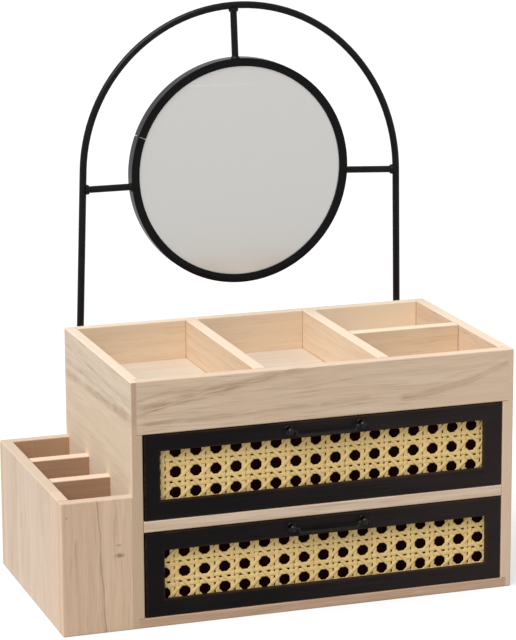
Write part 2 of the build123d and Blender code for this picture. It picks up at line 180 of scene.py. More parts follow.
class Graph:
    """The nodes of one material, world or floor."""

    def __init__(self, tree: bpy.types.NodeTree) -> None:
        """Start from an empty tree."""
        self.tree = tree
        tree.nodes.clear()

    def node(self, kind: str, settings: dict | None = None, sockets: dict | None = None) -> bpy.types.Node:
        """Add a node, set it up and feed its sockets.

        Args:
            kind: The node's type.
            settings: Its properties, set first; "stops" is a ramp's list of place and colour.
            sockets: The values or links of its inputs, by name or number.

        Returns:
            The new node.
        """
        made = self.tree.nodes.new(kind)
        for key, value in (settings or {}).items():
            if key == "stops":
                self._set_stops(made.color_ramp, value)
            else:
                setattr(made, key, value)
        for key, value in (sockets or {}).items():
            self.feed(made.inputs[key], value)
        return made

    def _set_stops(self, ramp: bpy.types.ColorRamp, stops: list) -> None:
        """Give a colour ramp its stops, in order of place."""
        for _ in range(len(stops) - len(ramp.elements)):
            ramp.elements.new(1.0)
        for element, (place, colour) in zip(ramp.elements, stops):
            element.position = place
            element.color = colour

    def feed(self, socket: bpy.types.NodeSocket, value: object) -> None:
        """Link a signal or an output to an input socket, or set the socket's own value."""
        if isinstance(value, Signal):
            self.tree.links.new(value.socket, socket)
        elif isinstance(value, bpy.types.NodeSocket):
            self.tree.links.new(value, socket)
        else:
            socket.default_value = value

    def math(self, operation: str, *operands: "Signal | float") -> Signal:
        """Add one Math node on the operands and return its result."""
        node = self.node("ShaderNodeMath", {"operation": operation}, dict(enumerate(operands)))
        return Signal(self, node.outputs[0])

    def place(self) -> tuple[Signal, Signal, Signal]:
        """Return where the shaded point lies in the object, in millimetres along X, Y and Z."""
        coordinates = self.node("ShaderNodeTexCoord").outputs["Object"]
        scaled = self.node(
            "ShaderNodeVectorMath", {"operation": "SCALE"}, {0: coordinates, "Scale": 1.0 / MM}
        )
        parts = self.node("ShaderNodeSeparateXYZ", None, {0: scaled.outputs[0]})
        return tuple(Signal(self, socket) for socket in parts.outputs)

    def vector(self, x: "Signal | float", y: "Signal | float", z: "Signal | float") -> Signal:
        """Join three values into one vector."""
        return Signal(self, self.node("ShaderNodeCombineXYZ", None, {0: x, 1: y, 2: z}).outputs[0])

    def noise(self, at: Signal, scale: float = 1.0, detail: float = 2.0, roughness: float = 0.5) -> Signal:
        """Return cloudy noise about 0, from about -0.5 to 0.5.

        Args:
            at: The position to read.
            scale: Features per unit of the position.
            detail: Octaves of finer noise.
            roughness: Weight of the finer octaves.

        Returns:
            The centred noise.
        """
        node = self.node(
            "ShaderNodeTexNoise",
            {"noise_dimensions": "3D"},
            {"Vector": at, "Scale": scale, "Detail": detail, "Roughness": roughness},
        )
        return Signal(self, node.outputs[0]) - 0.5

    def chance(self, number: "Signal | float") -> Signal:
        """Return one steady random value from 0 to 1 for each number."""
        node = self.node("ShaderNodeTexWhiteNoise", {"noise_dimensions": "1D"}, {"W": number})
        return Signal(self, node.outputs["Value"])

    def ramp(self, factor: Signal, stops: list) -> Signal:
        """Return the colour at a place along a ramp of stops."""
        return Signal(self, self.node("ShaderNodeValToRGB", {"stops": stops}, {0: factor}).outputs[0])

    def mix(self, first: object, second: object, factor: "Signal | float", blend: str = "MIX") -> Signal:
        """Mix two colours.

        Args:
            first: The colour at factor 0.
            second: The colour at factor 1.
            factor: How much of the second colour shows.
            blend: The way of mixing.

        Returns:
            The mixed colour.
        """
        node = self.node(
            "ShaderNodeMix",
            {"data_type": "RGBA", "blend_type": blend, "clamp_factor": True},
            {0: factor, 6: first, 7: second},
        )
        return Signal(self, node.outputs[2])

    def bump(self, height: Signal, strength: float, distance: float) -> Signal:
        """Turn a height in millimetres into a bent normal."""
        node = self.node("ShaderNodeBump", None, {"Strength": strength, "Distance": distance * MM, "Height": height})
        return Signal(self, node.outputs[0])

    def surface(self, shader: bpy.types.Node) -> None:
        """Send a shader node to the material's surface output."""
        self.node("ShaderNodeOutputMaterial", None, {"Surface": shader.outputs[0]})


def new_material(name: str) -> tuple[bpy.types.Material, Graph]:
    """Make an empty node material and the graph that fills it."""
    material = bpy.data.materials.new(name)
    material.use_nodes = True
    return material, Graph(material.node_tree)


# ---------------------------------------------------------------------------- finishes


Seen = tuple[int, int, int]


@dataclass(frozen=True)
class Knot:
    """A small brown knot on a board.

    Args:
        along: Its place along the grain, in mm.
        across: Its place across the grain, in mm.
        size: Its half width across the grain, in mm.
        flat: Its half length along the grain, as a share of its half width.
        amount: How dark it is, from 0 to 1.
    """

    along: float
    across: float
    size: float
    flat: float = 0.5
    amount: float = 0.7


@dataclass(frozen=True)
class Flame:
    """A darker streak that follows the grain in a shallow curve.

    Its middle line goes from start to end; across the grain it covers the share of the way along, raised
    to the power bend, so that a bend above 1 starts level and then climbs.

    Args:
        start: Where it begins, along and across the grain, in mm.
        end: Where it ends, along and across the grain, in mm.
        width: Its half width, in mm.
        amount: How dark it is, from 0 to 1.
        bend: The power of its curve.
        solid: How far it is an even band, 1, and not a bundle of hairs, 0.
        sway: How far it wanders to either side, in mm.
    """

    start: tuple[float, float]
    end: tuple[float, float]
    width: float
    amount: float
    bend: float = 1.0
    solid: float = 0.3
    sway: float = 1.5


@dataclass(frozen=True)
class JointAndShadeLine:
    """A thin dark line where another board meets this one: the joint itself, with painted shade in the corner beside
    it.

    Args:
        direction: The direction that the line stands square to.
        place: Where it lies along that direction, in mm.
        width: Its half width, in mm.
        amount: How dark it is, from 0 to 1.
        near: Where it ends and where it is full through the board's thickness, in mm, or None for all of it.
    """

    direction: Direction
    place: float
    width: float = 0.5
    amount: float = 0.65
    near: tuple[float, float] | None = None


@dataclass(frozen=True)
class Tint:
    """A colour that comes in between two places along one direction.

    Args:
        direction: The direction along which it comes in.
        start: Where it begins, in mm.
        end: Where it is full, in mm.
        colour: The colour as it is seen, 0 to 255 a channel.
        amount: How much of it shows where it is full.
        near: Where it ends and where it is full through the board's thickness, in mm, or None for all of it.
    """

    direction: Direction
    start: float
    end: float
    colour: Seen
    amount: float
    near: tuple[float, float] | None = None


@dataclass(frozen=True)
class WoodFinish:
    """Bare pale wood, sanded smooth, with broad soft rings, fine hairs and darker ends.

    A ring is a shell at a steady distance round a pith line that lies off the board, pushed about by
    slow noise along the grain, so that flat faces show arches and the ends show curved lines.

    Args:
        name: The material's name.
        grain: The direction in which the fibres run.
        face: The direction through the board's thickness.
        seed: A number that sets this board's figure apart from the others.
        pale: The colour of its early wood as it is seen.
        dark: The colour of its late wood as it is seen.
        tone: How far the whole board leans from pale, 0, to dark, 1.
        strip: Width of the glued strips in mm, or 0 for a board in one piece.
        strip_start: Where one glue line lies, in mm across the grain.
        strip_change: How much the strips differ in tone.
        figure: How strongly the rings show.
        streaks: How strongly the soft streaks show.
        hairs: How strongly the thin dark hairs show.
        blush: How much of it turns pinker in patches.
        end: The colour of its end grain as it is seen.
        knots: The knots on it.
        flames: The darker streaks on it.
        joint_and_shade_lines: The dark lines on it where other boards meet, joint and painted shade together.
        tints: The colours that come in along one direction.
    """

    name: str
    grain: Direction
    face: Direction
    seed: float
    pale: Seen = (234, 213, 188)
    dark: Seen = (203, 171, 140)
    tone: float = 0.36
    strip: float = 0.0
    strip_start: float = 0.0
    strip_change: float = 0.3
    figure: float = 0.3
    streaks: float = 0.7
    hairs: float = 0.3
    blush: float = 0.3
    end: Seen = (213, 192, 169)
    knots: tuple[Knot, ...] = ()
    flames: tuple[Flame, ...] = ()
    joint_and_shade_lines: tuple[JointAndShadeLine, ...] = ()
    tints: tuple[Tint, ...] = ()

    ring_width = 6.5
    pith_depth = 48.0
    drift = 15.0

    def material(self, low: np.ndarray, high: np.ndarray) -> bpy.types.Material:
        """Build the wood.

        Args:
            low: The board's lowest corner, in mm.
            high: The board's highest corner, in mm.

        Returns:
            The finished material.
        """
        material, graph = new_material(self.name)
        position = graph.place()
        rest = ({0, 1, 2} - {self.grain.value, self.face.value}).pop()
        along, across, through = position[self.grain.value], position[rest], position[self.face.value]

        index, inside, glue = self._strips(graph, across)
        chance = graph.chance(index * 1.37 + self.seed)
        second_chance = graph.chance(index * 2.11 + self.seed + 40.0)

        slow = graph.noise(graph.vector(along * 0.0062 + index * 3.3 + self.seed, inside * 0.028, through * 0.02))
        middle = (chance - 0.5) * (self.strip * 0.8 if self.strip else 60.0)
        offset = inside - middle
        depth = through + self.pith_depth + self.seed
        radius = (offset * offset * 0.6 + depth * depth).root() + slow * self.drift
        phase = (radius / self.ring_width).fraction()
        late = phase.ease(0.25, 0.93) * phase.ease(1.0, 0.94)
        presence = graph.noise(graph.vector(along * 0.011, across * 0.05, self.seed + index * 5.0)) + 0.62

        level = across + graph.noise(graph.vector(along * 0.013, across * 0.02, self.seed), 1.0, 1.0) * 7.0
        streak = graph.noise(
            graph.vector(along * 0.016 + self.seed, level * 0.5 + index * 9.0, through * 0.5), 1.0, 6.0, 0.68
        )
        fibre = graph.noise(graph.vector(along * 0.05, level * 2.2 + self.seed, through * 2.2), 1.0, 3.0, 0.6)
        hair = graph.noise(graph.vector(along * 0.034, level * 1.0, through + self.seed), 1.0, 3.0, 0.55)
        hair = hair.ease(0.02, 0.24) * (presence * 0.9 + 0.2)

        tone = self.tone + (second_chance - 0.5) * self.strip_change
        value = late * presence * self.figure + streak * self.streaks + fibre * 0.25 + tone
        colour = graph.mix(linear(*self.pale), linear(*self.dark), value)
        patch = graph.noise(graph.vector(along * 0.009 + index, across * 0.03, through * 0.03 + self.seed), 1.0, 3.0)
        pink = (patch * 1.6 + chance * 0.5 + self.blush - 0.25).ease(0.0, 1.0)
        colour = graph.mix(colour, linear(226, 188, 160), pink * 0.34)
        colour = graph.mix(colour, linear(158, 116, 82), hair * self.hairs)
        colour = graph.mix(colour, linear(150, 112, 80), glue * 0.3)

        for number, flame in enumerate(self.flames):
            mask = self._flame(graph, along, across, flame, self.seed + number * 7.0)
            colour = graph.mix(colour, linear(150, 106, 74), mask)
        colour = self._end_grain(graph, colour, position, low, high)
        for tint in self.tints:
            reach = position[tint.direction.value].ease(tint.start, tint.end)
            if tint.near:
                reach = reach * through.ease(*tint.near)
            colour = graph.mix(colour, linear(*tint.colour), reach * (streak * 0.3 + tint.amount))
        # Dark lines where boards meet: the joint, with painted shade in the corner beside it.
        for joint_and_shade_line in self.joint_and_shade_lines:
            line = abs(position[joint_and_shade_line.direction.value] - joint_and_shade_line.place).ease(joint_and_shade_line.width, joint_and_shade_line.width * 0.3)
            if joint_and_shade_line.near:
                line = line * through.ease(*joint_and_shade_line.near)
            colour = graph.mix(colour, linear(92, 62, 40), line * joint_and_shade_line.amount)
        colour = graph.mix(colour, linear(124, 88, 58), self._knots(graph, along, across))

        height = fibre * 0.5 + streak * 0.35 - hair * 0.3 - glue * 0.3
        shader = graph.node(
            "ShaderNodeBsdfPrincipled",
            None,
            {
                "Base Color": colour,
                "Roughness": fibre * 0.14 + late * 0.05 + 0.62,
                "Specular IOR Level": 0.28,
                "Normal": graph.bump(height, 0.3, 0.12),
            },
        )
        graph.surface(shader)
        return material

    def _strips(self, graph: Graph, across: Signal) -> tuple[Signal, Signal, Signal]:
        """Divide the board into glued strips.

        Args:
            graph: The material's graph.
            across: The place across the grain, in mm.

        Returns:
            The strip's number, the place from its middle, and a mask of the glue line.
        """
        if not self.strip:
            nothing = across * 0.0
            return nothing, across, nothing
        counted = (across - self.strip_start) / self.strip
        index = counted.floor()
        inside = (counted - index - 0.5) * self.strip
        glue = (abs(inside) - self.strip / 2).ease(-0.28, -0.02)
        return index, inside, glue

    def _end_grain(
        self, graph: Graph, colour: Signal, position: tuple, low: np.ndarray, high: np.ndarray
    ) -> Signal:
        """Turn the two ends of the grain darker, with thin lines along the board's width.

        Args:
            graph: The material's graph.
            colour: The colour of the faces.
            position: The place along X, Y and Z, in mm.
            low: The board's lowest corner, in mm.
            high: The board's highest corner, in mm.

        Returns:
            The colour with the ends in it.
        """
        grain, face = self.grain.value, self.face.value
        rest = ({0, 1, 2} - {grain, face}).pop()
        along = position[grain]
        first = along.ease(float(low[grain]) + 0.3, float(low[grain]) + 0.05)
        last = along.ease(float(high[grain]) - 0.3, float(high[grain]) - 0.05)
        lines = graph.noise(
            graph.vector(position[face] * 0.9, position[rest] * 0.045, self.seed), 1.0, 4.0, 0.62
        )
        shade = graph.mix(linear(*self.end), linear(*(int(part * 0.84) for part in self.end)), lines * 0.6 + 0.2)
        return graph.mix(colour, shade, first.most(last) * 0.92)

    def _flame(self, graph: Graph, along: Signal, across: Signal, flame: Flame, seed: float) -> Signal:
        """Mark one darker streak: even in its heart as far as it is solid, and split into hairs.

        Args:
            graph: The material's graph.
            along: The place along the grain, in mm.
            across: The place across the grain, in mm.
            flame: The streak.
            seed: A number that sets its hairs apart.

        Returns:
            A mask from 0 to the streak's amount.
        """
        (from_along, from_across), (to_along, to_across) = flame.start, flame.end
        share = ((along - from_along) / (to_along - from_along)).most(0.0).least(1.0)
        line = share**flame.bend * (to_across - from_across) + from_across
        away = across - line + graph.noise(graph.vector(along * 0.05, seed, 0.0), 1.0, 3.0) * 2.0 * flame.sway
        body = (abs(away) / flame.width).ease(1.0, 0.15)
        run = share.ease(0.0, 0.06) * share.ease(1.0, 0.82)
        hairs = graph.noise(graph.vector(along * 0.04, away * 0.9, seed), 1.0, 4.0, 0.62)
        bundle = (hairs * 4.2 + 0.4).most(0.0).least(1.0)
        strength = (graph.noise(graph.vector(along * 0.045, seed + 3.0, 0.0)) * 2.4 + 0.85).most(0.3).least(1.2)
        return body * run * strength * (bundle * (1.0 - flame.solid) + flame.solid) * flame.amount

    def _knots(self, graph: Graph, along: Signal, across: Signal) -> Signal:
        """Mark the knots, ragged at their rims.

        Args:
            graph: The material's graph.
            along: The place along the grain, in mm.
            across: The place across the grain, in mm.

        Returns:
            A mask that is strongest in a knot's heart.
        """
        mask = along * 0.0
        if not self.knots:
            return mask
        ragged = graph.noise(graph.vector(along * 0.9, across * 0.45, self.seed), 1.0, 3.0)
        for knot in self.knots:
            far = (along - knot.along) / (knot.size * knot.flat)
            wide = (across - knot.across) / knot.size
            reach = (far * far + wide * wide).root() + ragged * 1.1
            mask = mask.most(reach.ease(1.3, 0.1) * knot.amount)
        return mask


@dataclass(frozen=True)
class FramePaintFinish:
    """Satin black paint on a drawer's wooden frame, rubbed brown along its edges, with a painted sheen that lightens
    it towards the right.

    Args:
        name: The material's name.
        outside: Half width and half height of the frame, in mm.
        middle: The frame's middle along X and Z, in mm.
        window: Half width and half height of its window, in mm.
        window_middle: The window's middle along X and Z, in mm.
    """

    name: str
    outside: tuple[float, float]
    middle: tuple[float, float]
    window: tuple[float, float]
    window_middle: tuple[float, float]

    def material(self) -> bpy.types.Material:
        """Build the paint.

        Returns:
            The finished material.
        """
        material, graph = new_material(self.name)
        x, y, z = graph.place()
        from_outside = (self.outside[0] - abs(x - self.middle[0])).least(self.outside[1] - abs(z - self.middle[1]))
        from_window = (abs(x - self.window_middle[0]) - self.window[0]).most(
            abs(z - self.window_middle[1]) - self.window[1]
        )
        edge = from_outside.least(abs(from_window))
        patchy = graph.noise(graph.vector(x * 0.05, y * 0.4, z * 0.3), 1.0, 4.0, 0.6)
        rubbed = (edge - patchy * 1.4).ease(1.5, 0.3) * (patchy * 2.4 + 0.6).ease(0.0, 1.0)
        brushed = graph.noise(graph.vector(x * 0.02, y * 1.1, z * 1.1), 1.0, 4.0, 0.6)
        cloud = graph.noise(graph.vector(x * 0.02, y * 0.02, z * 0.05), 1.0, 2.0)
        # Painted sheen: the black grows lighter towards the frame's right side, as a broad gloss would look.
        side = (x - self.middle[0]) / (2.0 * self.outside[0])
        shade = (brushed * 0.9 + cloud * 0.8 + side * 0.9 + 0.4).ease(0.0, 1.0)
        colour = graph.mix(linear(19, 14, 16), linear(45, 38, 37), shade)
        colour = graph.mix(colour, linear(66, 44, 24), rubbed * 0.6)
        shader = graph.node(
            "ShaderNodeBsdfPrincipled",
            None,
            {
                "Base Color": colour,
                "Roughness": brushed * 0.16 + rubbed * 0.2 + 0.46,
                "Specular IOR Level": 0.1,
                "Normal": graph.bump(brushed + rubbed * 0.4, 0.25, 0.1),
            },
        )
        graph.surface(shader)
        return material


@dataclass(frozen=True)
class BlackMetalFinish:
    """Steel rod and sheet under a thin satin black coat.

    Args:
        name: The material's name.
        roughness: The coat's mean roughness.
        grain: Size of the coat's fine texture, in features per mm.
        shine: The strength of its reflections.
        deep: The darker of its two near blacks as it is seen.
        pale: The lighter one.
    """

    name: str
    roughness: float = 0.3
    grain: float = 1.6
    shine: float = 0.19
    deep: Seen = (7, 5, 7)
    pale: Seen = (20, 17, 19)

    def material(self) -> bpy.types.Material:
        """Build the coat.

        Returns:
            The finished material.
        """
        material, graph = new_material(self.name)
        x, y, z = graph.place()
        at = graph.vector(x, y, z)
        fine = graph.noise(at, self.grain, 3.0, 0.6)
        broad = graph.noise(at, 0.06, 3.0, 0.55)
        colour = graph.mix(linear(*self.deep), linear(*self.pale), (broad * 1.8 + fine * 0.5 + 0.5).ease(0.0, 1.0))
        shader = graph.node(
            "ShaderNodeBsdfPrincipled",
            None,
            {
                "Base Color": colour,
                "Roughness": fine * 0.1 + broad * 0.12 + self.roughness,
                "Specular IOR Level": self.shine,
                "Normal": graph.bump(fine, 0.22, 0.05),
            },
        )
        graph.surface(shader)
        return material


@dataclass(frozen=True)
class MirrorFinish:
    """Silvered glass that shows its pale surroundings as an even grey, with a painted reflection in its colour: a
    little lighter upwards, and a faint bright level line near its top.

    Args:
        name: The material's name.
        low: Its lowest place, in mm.
        high: Its highest place, in mm.
        line: Height of the faint bright level line, a painted reflection, near its top, in mm.
        reflection_line_reach: Where that line fades along X, in mm.
    """

    name: str
    low: float
    high: float
    line: float
    reflection_line_reach: float

    def material(self) -> bpy.types.Material:
        """Build the silvering.

        Returns:
            The finished material.
        """
        material, graph = new_material(self.name)
        x, y, z = graph.place()
        haze = graph.noise(graph.vector(x * 0.008, y, z * 0.008), 1.0, 2.0)
        # Painted reflection: the grey grows lighter upwards.
        rise = (z - self.low) / (self.high - self.low)
        colour = graph.mix(linear(226, 228, 227), linear(235, 233, 231), rise + haze * 0.2)
        # Painted reflection: a faint bright level line near the top, fading out to the right.
        line = abs(z - self.line + x * 0.02).ease(1.1, 0.1) * (x - self.reflection_line_reach).ease(20.0, -20.0)
        colour = graph.mix(colour, linear(246, 244, 241), line * 0.6)
        dust = graph.noise(graph.vector(x * 0.3, y, z * 0.3), 1.0, 4.0)
        shader = graph.node(
            "ShaderNodeBsdfPrincipled",
            None,
            {"Base Color": colour, "Metallic": haze * 0.1 + 0.5, "Roughness": dust * 0.02 + 0.22},
        )
        graph.surface(shader)
        return material


@dataclass(frozen=True)
class HardboardFinish:
    """Dark hardboard with a faint pressed nap.

    Args:
        name: The material's name.
        deep: The darker of its two colours as it is seen.
        pale: The lighter one.
    """

    name: str
    deep: Seen
    pale: Seen

    def material(self) -> bpy.types.Material:
        """Build the hardboard.

        Returns:
            The finished material.
        """
        material, graph = new_material(self.name)
        at = graph.vector(*graph.place())
        nap = graph.noise(at, 2.2, 4.0, 0.65)
        shade = graph.noise(at, 0.09, 2.0)
        colour = graph.mix(linear(*self.deep), linear(*self.pale), (nap * 1.3 + shade * 0.5 + 0.4).ease(0.0, 1.0))
        shader = graph.node(
            "ShaderNodeBsdfPrincipled",
            None,
            {
                "Base Color": colour,
                "Roughness": nap * 0.1 + 0.72,
                "Specular IOR Level": 0.04,
                "Normal": graph.bump(nap, 0.3, 0.1),
            },
        )
        graph.surface(shader)
        return material


@dataclass(frozen=True)
class ZincFinish:
    """Bright zinc plate on screws and nuts.

    Args:
        name: The material's name.
    """

    name: str

    def material(self) -> bpy.types.Material:
        """Build the plating.

        Returns:
            The finished material.
        """
        material, graph = new_material(self.name)
        at = graph.vector(*graph.place())
        spangle = graph.noise(at, 1.8, 3.0, 0.6)
        colour = graph.mix(linear(150, 152, 156), linear(205, 206, 208), (spangle * 1.5 + 0.5).ease(0.0, 1.0))
        shader = graph.node(
            "ShaderNodeBsdfPrincipled",
            None,
            {
                "Base Color": colour,
                "Metallic": 1.0,
                "Roughness": spangle * 0.2 + 0.34,
                "Normal": graph.bump(spangle, 0.15, 0.03),
            },
        )
        graph.surface(shader)
        return material


@dataclass(frozen=True)
class CaneFinish:
    """Split cane with its glossy golden skin, each strand a little different.

    The strands' own map runs along them in mm and across them from -1 to 1.

    Args:
        name: The material's name.
    """

    name: str

    def material(self) -> bpy.types.Material:
        """Build the cane.

        Returns:
            The finished material.
        """
        material, graph = new_material(self.name)
        strand = graph.node("ShaderNodeUVMap", {"uv_map": CaneWeave.uv_name})
        parts = graph.node("ShaderNodeSeparateXYZ", None, {0: strand.outputs[0]})
        along, across = Signal(graph, parts.outputs[0]), Signal(graph, parts.outputs[1])
        tone = Signal(
            graph, graph.node("ShaderNodeAttribute", {"attribute_name": CaneWeave.tone_name}).outputs["Fac"]
        )
        streak = graph.noise(graph.vector(along * 0.05 + tone * 91.0, across * 2.4, tone * 17.0), 1.0, 4.0, 0.6)
        patch = graph.noise(graph.vector(along * 0.09, tone * 53.0, 0.0), 1.0, 2.0)
        node_ring = graph.noise(graph.vector(along * 0.35, tone * 31.0, 2.0), 1.0, 1.0).ease(0.27, 0.36)
        colour = graph.ramp(
            tone * 0.35 + streak * 0.5 + patch * 0.5 + 0.33,
            [
                (0.0, linear(233, 200, 126)),
                (0.35, linear(249, 213, 142)),
                (0.65, linear(255, 222, 150)),
                (1.0, linear(255, 216, 164)),
            ],
        )
        edge = abs(across).ease(0.6, 1.0)
        colour = graph.mix(colour, linear(206, 164, 96), edge * 0.16)
        colour = graph.mix(colour, linear(170, 122, 64), node_ring * 0.4)
        shader = graph.node(
            "ShaderNodeBsdfPrincipled",
            None,
            {
                "Base Color": colour,
                "Roughness": streak * 0.2 + 0.42,
                "Specular IOR Level": 0.4,
                "Normal": graph.bump(streak, 0.25, 0.08),
            },
        )
        graph.surface(shader)
        return material


# ---------------------------------------------------------------------------- dressing and meshes


def dress(node: str, material: bpy.types.Material) -> None:
    """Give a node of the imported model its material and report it.

    Args:
        node: The node's name.
        material: What its slot takes.
    """
    piece = NODES[node]
    piece.data.materials.clear()
    piece.data.materials.append(material)
    LOG.info("%s dressed in %s", node, material.name)


def corners(node: str) -> tuple[np.ndarray, np.ndarray]:
    """Return a node's lowest and highest corners in mm."""
    low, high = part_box(node)
    return np.array(low) / MM, np.array(high) / MM


def add_mesh(name: str, points: np.ndarray, faces: np.ndarray, smooth: bool = True) -> bpy.types.Object:
    """Make an object from points in mm and rows of corner numbers.

    Args:
        name: The object's name.
        points: One row of X, Y, Z a point, in mm.
        faces: One row of corner numbers a face.
        smooth: Whether its faces are shaded as one surface.

    Returns:
        The new object, at the origin.
    """
    mesh = bpy.data.meshes.new(name)
    mesh.from_pydata((points * MM).tolist(), [], faces.tolist())
    mesh.polygons.foreach_set("use_smooth", np.full(len(faces), smooth))
    mesh.update()
    piece = bpy.data.objects.new(name, mesh)
    bpy.context.scene.collection.objects.link(piece)
    return piece


@dataclass
class CaneWeave:
    """Six-way cane webbing: upright and level strands in pairs, and single slanted ones both ways.

    The strands leave eight-sided holes one pitch apart. Pairs run half a pitch from the holes' middles,
    and slanted strands pass half way between neighbouring holes, over the uprights and under the level
    ones or the other way round.

    Args:
        node: The flat panel that it stands for.
        body: What it moves with.
        material: The cane.
        first: One hole's middle from the panel's middle along X and Z, in mm.
        tilt: The whole web's turn, in degrees.
        seed: The seed of its small unevenness.
    """

    node: str
    body: str
    material: bpy.types.Material
    first: tuple[float, float]
    tilt: float
    seed: int
    pitch: float = 14.5
    upright_offset: float = 1.8
    level_offset: float = 2.0
    pair_width: float = 2.9
    slant_width: float = 2.6
    thickness: float = 0.19
    pair_wave: float = 0.12
    slant_wave: float = 0.15
    step: float = 1.05
    inset: float = 0.3

    uv_name = "strand"
    tone_name = "tone"

    def build(self) -> bpy.types.Object:
        """Weave the sheet, hide its panel and let it ride.

        Returns:
            The finished piece.
        """
        low, high = corners(self.node)
        self.middle = (low + high) / 2
        self.reach = (high - low)[[0, 2]] / 2 - self.inset
        self.random = np.random.default_rng(self.seed)
        families = [*self._pairs(upright=True), *self._pairs(upright=False)]
        families += [self._slanted(1.0), self._slanted(-1.0)]
        points, faces, maps, tones = self._join(families)
        points[:, 0] = np.clip(points[:, 0], low[0], high[0])
        points[:, 1] = np.clip(points[:, 1], low[1], high[1])
        points[:, 2] = np.clip(points[:, 2], low[2], high[2])
        piece = add_mesh(f"{self.node}_weave", points, faces)
        layer = piece.data.uv_layers.new(name=self.uv_name)
        layer.data.foreach_set("uv", maps[faces.ravel()].ravel().astype(np.float32))
        attribute = piece.data.attributes.new(self.tone_name, "FLOAT", "POINT")
        attribute.data.foreach_set("value", tones.astype(np.float32))
        piece.data.materials.append(self.material)
        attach(piece, self.body)
        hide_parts(self.node)
        LOG.info("%s woven with %d faces", piece.name, len(faces))
        return piece

    def _lines(self, low: float, high: float, first: float) -> np.ndarray:
        """Return the places between low and high that lie half a pitch from the holes."""
        start = math.ceil((low - first) / self.pitch - 0.5)
        end = math.floor((high - first) / self.pitch - 0.5)
        return first + (np.arange(start, end + 1) + 0.5) * self.pitch

    def _pairs(self, upright: bool) -> list[tuple]:
        """Lay both strands of the pairs that run one way.

        A strand rises and dips as a sine across each crossing and lies level between crossings.

        Args:
            upright: Whether they run up, or else level.

        Returns:
            The two families of strands.
        """
        across, along = (0, 1) if upright else (1, 0)
        offset = self.upright_offset if upright else self.level_offset
        lines = self._lines(-self.reach[across], self.reach[across], self.first[across])
        families = []
        for side in (-1.0, 1.0):
            places = lines + side * offset
            places = places[np.abs(places) < self.reach[across] - self.pair_width / 2]
            count = int(2 * self.reach[along] / self.step)
            run = np.linspace(-self.reach[along], self.reach[along], count)
            local = ((run - self.first[along]) / self.pitch % 1.0 - 0.5) * self.pitch
            wave = np.where(np.abs(local) < 2 * offset, np.sin(np.pi * local / (2 * offset)), 0.0)
            sign = -side if upright else side
            height = np.broadcast_to(sign * self.pair_wave * wave, (len(places), count))
            flat = np.empty((len(places), count, 2))
            flat[..., across] = places[:, None]
            flat[..., along] = run[None, :]
            families.append((flat, height, self.pair_width))
        return families

    def _slanted(self, slope: float) -> tuple:
        """Lay the single strands that run one slanted way.

        Each follows a line at 45 degrees through the points half way between neighbouring holes, and its
        height is a softened square wave: a hyperbolic tangent of a cosine of the place along X.

        Args:
            slope: 1 for strands that rise to the right, -1 for those that fall.

        Returns:
            The family of strands.
        """
        wide, tall = self.reach
        span = wide + tall
        base = self.first[1] - slope * self.first[0]
        crossings = self._lines(-span, span, base)
        low_x = np.where(slope > 0, -tall - crossings, crossings - tall)
        high_x = np.where(slope > 0, tall - crossings, crossings + tall)
        start = np.maximum(low_x, -wide)
        end = np.minimum(high_x, wide)
        kept = end - start > 4.0
        start, end, crossings = start[kept], end[kept], crossings[kept]
        count = int(2 * tall * math.sqrt(2) / self.step)
        share = np.linspace(0.0, 1.0, count)
        x = start[:, None] + (end - start)[:, None] * share[None, :]
        z = slope * x + crossings[:, None]
        wave = np.tanh(3.0 * np.cos(2 * np.pi * ((x - self.first[0]) / self.pitch - 0.5))) / np.tanh(3.0)
        return np.stack([x, z], -1), slope * self.slant_wave * wave, self.slant_width

    def _join(self, families: list[tuple]) -> tuple[np.ndarray, np.ndarray, np.ndarray, np.ndarray]:
        """Turn every family's lines into ribbons and join them into one mesh.

        A ribbon is a flat-backed band whose front is a low arch with thin rounded edges.

        Args:
            families: For each family the flat lines, their heights and their width.

        Returns:
            Points in mm, four-cornered faces, the map of each point, and each point's tone.
        """
        profile_v = np.array([-1.0, -0.62, 0.0, 0.62, 1.0, 0.7, 0.0, -0.7])
        profile_h = np.array([0.0, 0.42, 0.5, 0.42, 0.0, -0.5, -0.5, -0.5])
        ring = len(profile_v)
        all_points, all_faces, all_maps, all_tones = [], [], [], []
        base = 0
        turn = math.radians(self.tilt)
        for flat, height, width in families:
            strands, count = height.shape
            travel = np.gradient(flat, axis=1)
            travel /= np.linalg.norm(travel, axis=-1, keepdims=True)
            sideways = np.stack([-travel[..., 1], travel[..., 0]], -1)
            share = np.linspace(0.0, 1.0, count)
            sway = self.random.uniform(-0.16, 0.16, (strands, 3))
            drift = sway[:, :1] + sway[:, 1:2] * np.sin(
                np.pi * 2 * (share[None, :] * (1.5 + sway[:, 2:] * 4) + sway[:, 2:])
            )
            swell = 1.0 + self.random.uniform(-0.06, 0.06, (strands, 1))
            centre = flat + sideways * drift[..., None]
            half = width / 2 * swell
            placed = centre[:, :, None, :] + sideways[:, :, None, :] * (
                profile_v[None, None, :, None] * half[:, :, None, None]
            )
            out = height[..., None] + profile_h * self.thickness
            x = placed[..., 0] * math.cos(turn) - placed[..., 1] * math.sin(turn)
            z = placed[..., 0] * math.sin(turn) + placed[..., 1] * math.cos(turn)
            points = np.stack(
                [self.middle[0] + x, self.middle[1] - out, self.middle[2] + z], -1
            ).reshape(-1, 3)
            length = np.concatenate(
                [np.zeros((strands, 1)), np.cumsum(np.linalg.norm(np.diff(flat, axis=1), axis=-1), 1)], 1
            )
            maps = np.stack(
                [
                    np.broadcast_to(length[..., None], (strands, count, ring)),
                    np.broadcast_to(profile_v, (strands, count, ring)),
                ],
                -1,
            ).reshape(-1, 2)
            tones = np.repeat(self.random.uniform(0.0, 1.0, strands), count * ring)
            all_points.append(points)
            all_maps.append(maps)
            all_tones.append(tones)
            all_faces.append(self._ribbon_faces(strands, count, ring) + base)
            base += len(points)
        return (
            np.concatenate(all_points),
            np.concatenate(all_faces),
            np.concatenate(all_maps),
            np.concatenate(all_tones),
        )

